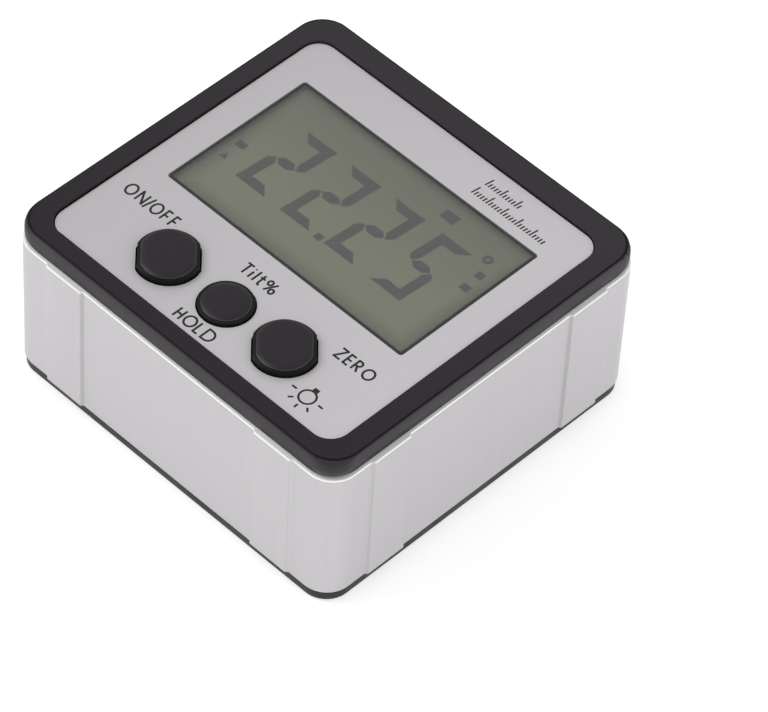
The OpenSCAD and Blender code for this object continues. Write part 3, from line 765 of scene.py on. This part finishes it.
def pick_edges(piece, test):
    """Selects, in edit mode, the edges whose two ends and two normals pass a test."""
    bpy.ops.mesh.select_mode(type="EDGE")
    bpy.ops.mesh.select_all(action="DESELECT")
    cage = bmesh.from_edit_mesh(piece.data)
    for edge in cage.edges:
        ends = [vert.co * 1000 for vert in edge.verts]
        sides = [face.normal for face in edge.link_faces]
        if len(sides) == 2 and test(*ends, *sides):
            edge.select_set(True)
    bmesh.update_edit_mesh(piece.data)


def button(name, node, diameter, flats):
    """A cap with a long soft shoulder, drawn up from its wide foot and then turned to set its flats."""
    low, high = box_of(node)
    x, y, top, radius = (low.x + high.x) / 2, (low.y + high.y) / 2, high.z, diameter / 2
    axis = (x / 1000, y / 1000, 0)
    cut = math.degrees(math.acos(flats / diameter))
    turns = [cut + (180 - 2 * cut) * i / 44 for i in range(45)]
    turns = [math.radians(t) for t in turns + [t + 180 for t in turns]]
    if flats == diameter:
        turns = turns[:44] + turns[45:89]
    outline = [(x + radius * math.cos(t), y + radius * math.sin(t)) for t in turns]
    piece = flat_plate(name, outline, low.z + foot_thick - 0.05, top - shoulder)
    start_edit(piece)
    pick_faces(piece, lambda middle, slope: slope.z > 0.9)
    wide, long, height = flats / 2, radius, top - shoulder
    for across, along, drop in shoulder_steps:
        along = along if flats < diameter else across
        rise = (top - drop - height) / 1000
        bpy.ops.mesh.extrude_region_move(TRANSFORM_OT_translate={"value": (0, 0, rise)})
        narrower = ((flats / 2 - across) / wide, (radius - along) / long, 1)
        bpy.ops.transform.resize(value=narrower, center_override=axis)
        wide, long, height = flats / 2 - across, radius - along, top - drop
    bpy.ops.mesh.select_all(action="SELECT")
    bpy.ops.mesh.normals_make_consistent(inside=False)
    bpy.ops.transform.rotate(value=math.radians(-45), orient_axis="Z", center_override=axis)
    end_edit()
    bpy.ops.object.select_all(action="DESELECT")
    bpy.ops.mesh.primitive_cylinder_add(vertices=96, radius=(radius + foot_reach) / 1000,
                                        depth=foot_thick / 1000,
                                        location=(x / 1000, y / 1000, (low.z + foot_thick / 2) / 1000))
    foot = bpy.context.object
    bpy.ops.object.transform_apply(location=True, rotation=True, scale=True)
    start_edit(foot)
    pick_edges(foot, lambda a, b, m, n: abs(a.z - b.z) < 0.01)
    bpy.ops.mesh.bevel(offset=foot_round / 1000, segments=2)
    end_edit()
    piece = merge(name, [piece, foot])
    dress(piece, button_black, button_painted_highlight, button_painted_shade)
    # Painted light on each cap: the band just under the top edge is lighter as a highlight line, and the wall
    # and foot below are darker as painted shade.
    for face in piece.data.polygons:
        drop = top - face.center.z * 1000
        if line_level < drop < side_level:
            face.material_index = 1
        elif drop > side_level:
            face.material_index = 2
    smooth(piece, 40)
    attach(piece, node)
    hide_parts(node)


button("power_cap", "power_button", 8.9, 8.1)
button("hold_cap", "hold_button", 7.5, 7.5)
button("zero_cap", "zero_button", 8.9, 8.1)
plunger_black = finish_of("plunger_black", (0.015, 0.015, 0.015), 0.5)
grain(plunger_black, 0.2, 0.004)
for body in ("power", "hold", "zero"):
    broken(body + "_plunger", body + "_switch_pin", 0.08, plunger_black, body + "_button")


# Circuit board: green laminate with the chips, the crystal and the small parts on
# its rear side, three switches on its front, and four screws into the bezel.
board_green = finish_of("board_green", (0.02, 0.12, 0.05), 0.35)
cloud(board_green, 1.2, "Base Color", (0.012, 0.09, 0.035), (0.03, 0.16, 0.07), stretch=(1, 6, 1))
grain(board_green, 0.8, 0.02, stretch=(6, 1, 1))
broken("main_board", "circuit_board", 0.05, board_green)
chip_black = finish_of("chip_black", (0.02, 0.02, 0.021), 0.55)
grain(chip_black, 0.1, 0.004)
broken("microcontroller", "control_chip", 0.04, chip_black)
broken("tilt_sensor", "tilt_chip", 0.06, chip_black)
switch_grey = finish_of("switch_grey", (0.07, 0.07, 0.075), 0.45)
grain(switch_grey, 0.2, 0.005)
broken("switch_bodies", "switch_cases", 0.08, switch_grey)
can_bright = finish_of("can_bright", (0.72, 0.72, 0.73), 0.25, Metallic=1)
cloud(can_bright, 1, "Roughness", 0.2, 0.35)
dress(nodes["crystal"], can_bright)
part_brown = finish_of("part_brown", (0.3, 0.22, 0.14), 0.5)
cloud(part_brown, 0.6, "Base Color", (0.24, 0.17, 0.11), (0.36, 0.28, 0.19))
dress(nodes["board_passives"], part_brown)
screw_steel = finish_of("screw_steel", (0.62, 0.62, 0.63), 0.3, Metallic=1)
grain(screw_steel, 0.15, 0.003)
cloud(screw_steel, 0.7, "Roughness", 0.22, 0.4)
broken("board_screws", "board_screw_set", 0.04, screw_steel)


# Side frame: one piece of extruded aluminium with two flat contact pads on each
# side, satin anodised with faint upright die lines, and painted highlights on its broken edges.
pad_rise, frame_wall = 0.35, 1.79
frame_x, frame_y, frame_top = box_of("side_frame")[1]
frame_x, frame_y = frame_x - pad_rise, frame_y - pad_rise
inside_x, inside_y = frame_x - frame_wall, frame_y - frame_wall
step_x, step_y = 24, 23
top_edge, low_edge = 0.24, 0.15
frame_metal = finish_of("frame_metal", (0.575, 0.557, 0.575), 0.42, Metallic=0.85)
cloud(frame_metal, 1.1, "Roughness", 0.4, 0.45, stretch=(1, 1, 60))
grain(frame_metal, 0.2, 0.0005, stretch=(1, 1, 80))
frame_step = finish_of("frame_step", (0.68, 0.67, 0.68), 0.4, Metallic=0.85)
grain(frame_step, 0.2, 0.0005, stretch=(1, 1, 80))
edge_bright = finish_of("edge_bright", (0.9, 0.9, 0.9), 0.3, Metallic=0.8)
grain(edge_bright, 0.2, 0.0005)
ledge_painted_highlight = finish_of("ledge_painted_highlight", (0.9, 0.89, 0.9), 0.5, Metallic=0.15)
grain(ledge_painted_highlight, 0.2, 0.002)
metal = copy_of("side_frame", "metal_frame")
dress(metal, frame_metal, edge_bright, frame_step, ledge_painted_highlight)
# The outer edges are broken, the upper ones more than the lower ones; the rounds take a painted highlight.
start_edit(metal)
for at_top, width in ((True, top_edge), (False, low_edge)):
    pick_edges(metal, lambda a, b, m, n: abs(a.z - b.z) < 0.01 and min(abs(m.z), abs(n.z)) < 0.1
               and max(abs(a.x) / inside_x, abs(a.y) / inside_y) > 1.001 and (a.z > frame_top / 2) == at_top)
    bpy.ops.mesh.bevel(offset=width / 1000, segments=2, profile=0.5, clamp_overlap=False, material=1)
end_edit()
# The pads' steps that face the middle of a side take painted light, and the ledge under the bezel a painted
# highlight.
for face in metal.data.polygons:
    middle, slope = face.center * 1000, face.normal
    if (abs(middle.y) > frame_y + 0.02 and abs(middle.x) < step_x and abs(slope.x) > 0.5
            or abs(middle.x) > frame_x + 0.02 and abs(middle.y) < step_y and abs(slope.y) > 0.5):
        face.material_index = 2
    elif slope.z > 0.9 and middle.z > frame_top - 0.05:
        face.material_index = 3
smooth(metal, 30)
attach(metal, "housing")
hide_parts("side_frame")
magnet_grey = finish_of("magnet_grey", (0.55, 0.54, 0.52), 0.25, Metallic=1)
cloud(magnet_grey, 2, "Roughness", 0.18, 0.32)
broken("side_magnets", "pad_magnets", 0.12, magnet_grey)


# Back cover: black moulded plate with a battery bay, a lip inside the frame and
# sunk holes for the four long case screws.
cover_black = finish_of("cover_black", (0.017, 0.017, 0.019), 0.5, Specular_IOR_Level=0.35)
grain(cover_black, 0.3, 0.02)
cloud(cover_black, 6, "Roughness", 0.45, 0.6)
broken("back_cover", "rear_cover", 0.07, cover_black)
broken("case_screws", "case_screw_set", 0.04, screw_steel)


# Battery bay: two small cells in plain sleeves between sprung metal contacts, and
# two wires up to the board.
contact_metal = finish_of("contact_metal", (0.72, 0.7, 0.64), 0.28, Metallic=1)
cloud(contact_metal, 1.5, "Roughness", 0.2, 0.36)
broken("contact_link", "link_strip", 0.04, contact_metal)
broken("contact_negative", "minus_strip", 0.04, contact_metal)
broken("contact_positive", "plus_strip", 0.04, contact_metal)

cell_skin = finish_of("cell_skin", (0.025, 0.07, 0.16), 0.28)
cloud(cell_skin, 5, "Roughness", 0.24, 0.36)
grain(cell_skin, 0.5, 0.003)
cell_band = finish_of("cell_band", (0.5, 0.5, 0.48), 0.3, Metallic=0.6)
cloud(cell_band, 4, "Roughness", 0.26, 0.38)
cell_steel = finish_of("cell_steel", (0.66, 0.65, 0.62), 0.25, Metallic=1)
cloud(cell_steel, 1.2, "Roughness", 0.2, 0.36)
cell_radius, cell_length, cell_round = 5.15, 43.3, 0.4
cell_low, cell_high = box_of("battery_cell_upper")
cell_y, cell_z = (cell_low.y + cell_high.y) / 2, (cell_low.z + cell_high.z) / 2
# Levels along the cell of its plain band, of the minus sign and of the plus sign and its cross bar.
band_low, band_high = 27, 28
minus_low, minus_high = 4.2, 4.8
plus_low, bar_low, bar_high, plus_high = 38.2, 38.7, 39.3, 39.8
mark_reach, bar_reach = 0.95, 0.3
end_reach = 4.42
# Each end is drawn in and out again through pairs of reach and level.
plus_end = ((4.4, 43.3), (4.3, 43.05), (2.2, 43.05), (1.9, 43.35), (1.9, 44.1), (1.7, 44.3))
minus_end = ((4.4, 0), (4.3, 0.2), (3.2, 0.2), (3, 0.05))


def draw_up(height, section):
    """Extrudes the picked end face of a cell through pairs of reach and level, about its own axis."""
    wide = cell_radius - cell_round
    for reach, level in section:
        bpy.ops.mesh.extrude_region_move(TRANSFORM_OT_translate={"value": (0, 0, (level - height) / 1000)})
        bpy.ops.transform.resize(value=(reach / wide, reach / wide, 1), center_override=(0, 0, 0))
        wide, height = reach, level


bpy.ops.object.select_all(action="DESELECT")
bpy.ops.mesh.primitive_cylinder_add(vertices=72, radius=cell_radius / 1000, depth=cell_length / 1000,
                                    location=(0, 0, cell_length / 2000))
cell = bpy.context.object
cell.name = "cell_upper"
bpy.ops.object.transform_apply(location=True, rotation=True, scale=True)
start_edit(cell)
# Cuts round the cell where its marks and its band begin and end, and one above the minus sign.
for level in (minus_low, minus_high, 5.4, band_low, band_high, plus_low, bar_low, bar_high, plus_high):
    bpy.ops.mesh.select_all(action="SELECT")
    bpy.ops.mesh.bisect(plane_co=(0, 0, level / 1000), plane_no=(0, 0, 1))
pick_edges(cell, lambda a, b, m, n: abs(a.z - b.z) < 0.01 and abs(m.z - n.z) > 0.9)
bpy.ops.mesh.bevel(offset=cell_round / 1000, segments=3)
pick_faces(cell, lambda middle, slope: slope.z > 0.99 and middle.z > cell_length - 0.1)
draw_up(cell_length, plus_end)
pick_faces(cell, lambda middle, slope: slope.z < -0.99 and middle.z < 0.1)
draw_up(0, minus_end)
end_edit()
dress(cell, cell_skin, cell_band, cell_steel)
for face in cell.data.polygons:
    middle = face.center * 1000
    reach, along = math.hypot(middle.x, middle.y), middle.z
    across = abs(math.atan2(middle.y, -middle.x)) * cell_radius
    crossed = across < bar_reach or bar_low < along < bar_high
    plus = across < mark_reach and plus_low < along < plus_high and crossed
    minus = across < mark_reach and minus_low < along < minus_high
    if reach < end_reach:
        face.material_index = 2
    elif band_low < along < band_high or plus or minus:
        face.material_index = 1
start_edit(cell)
bpy.ops.mesh.select_all(action="SELECT")
bpy.ops.transform.rotate(value=math.radians(-90), orient_axis="Y", center_override=(0, 0, 0))
bpy.ops.transform.translate(value=(cell_low.x / 1000, cell_y / 1000, cell_z / 1000))
end_edit()
lower_cell = new_piece("cell_lower", cell.data.copy())
start_edit(lower_cell)
bpy.ops.mesh.select_all(action="SELECT")
bpy.ops.transform.rotate(value=math.radians(180), orient_axis="Z", center_override=(0, 0, 0))
end_edit()
for piece, node in ((cell, "battery_cell_upper"), (lower_cell, "battery_cell_lower")):
    smooth(piece, 25)
    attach(piece, "housing")
    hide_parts(node)

wire_red = finish_of("wire_red", (0.5, 0.02, 0.02), 0.4)
cloud(wire_red, 1, "Roughness", 0.35, 0.5)
dress(nodes["wire_positive"], wire_red)
wire_black = finish_of("wire_black", (0.015, 0.015, 0.015), 0.4)
cloud(wire_black, 1, "Roughness", 0.35, 0.5)
dress(nodes["wire_negative"], wire_black)


# Battery door: flush black lid with an ear and a screw on each long side, and two
# strips of foam inside that hold the cells.
broken("battery_door", "door_lid", 0.07, cover_black, "battery_door")
foam_grey = finish_of("foam_grey", (0.05, 0.05, 0.052), 0.95)
grain(foam_grey, 0.5, 0.15)
dress(nodes["door_foam"], foam_grey)
for place in ("upper", "lower"):
    broken("door_screw_" + place, place + "_door_screw", 0.04, screw_steel,
           "door_screw_" + place)
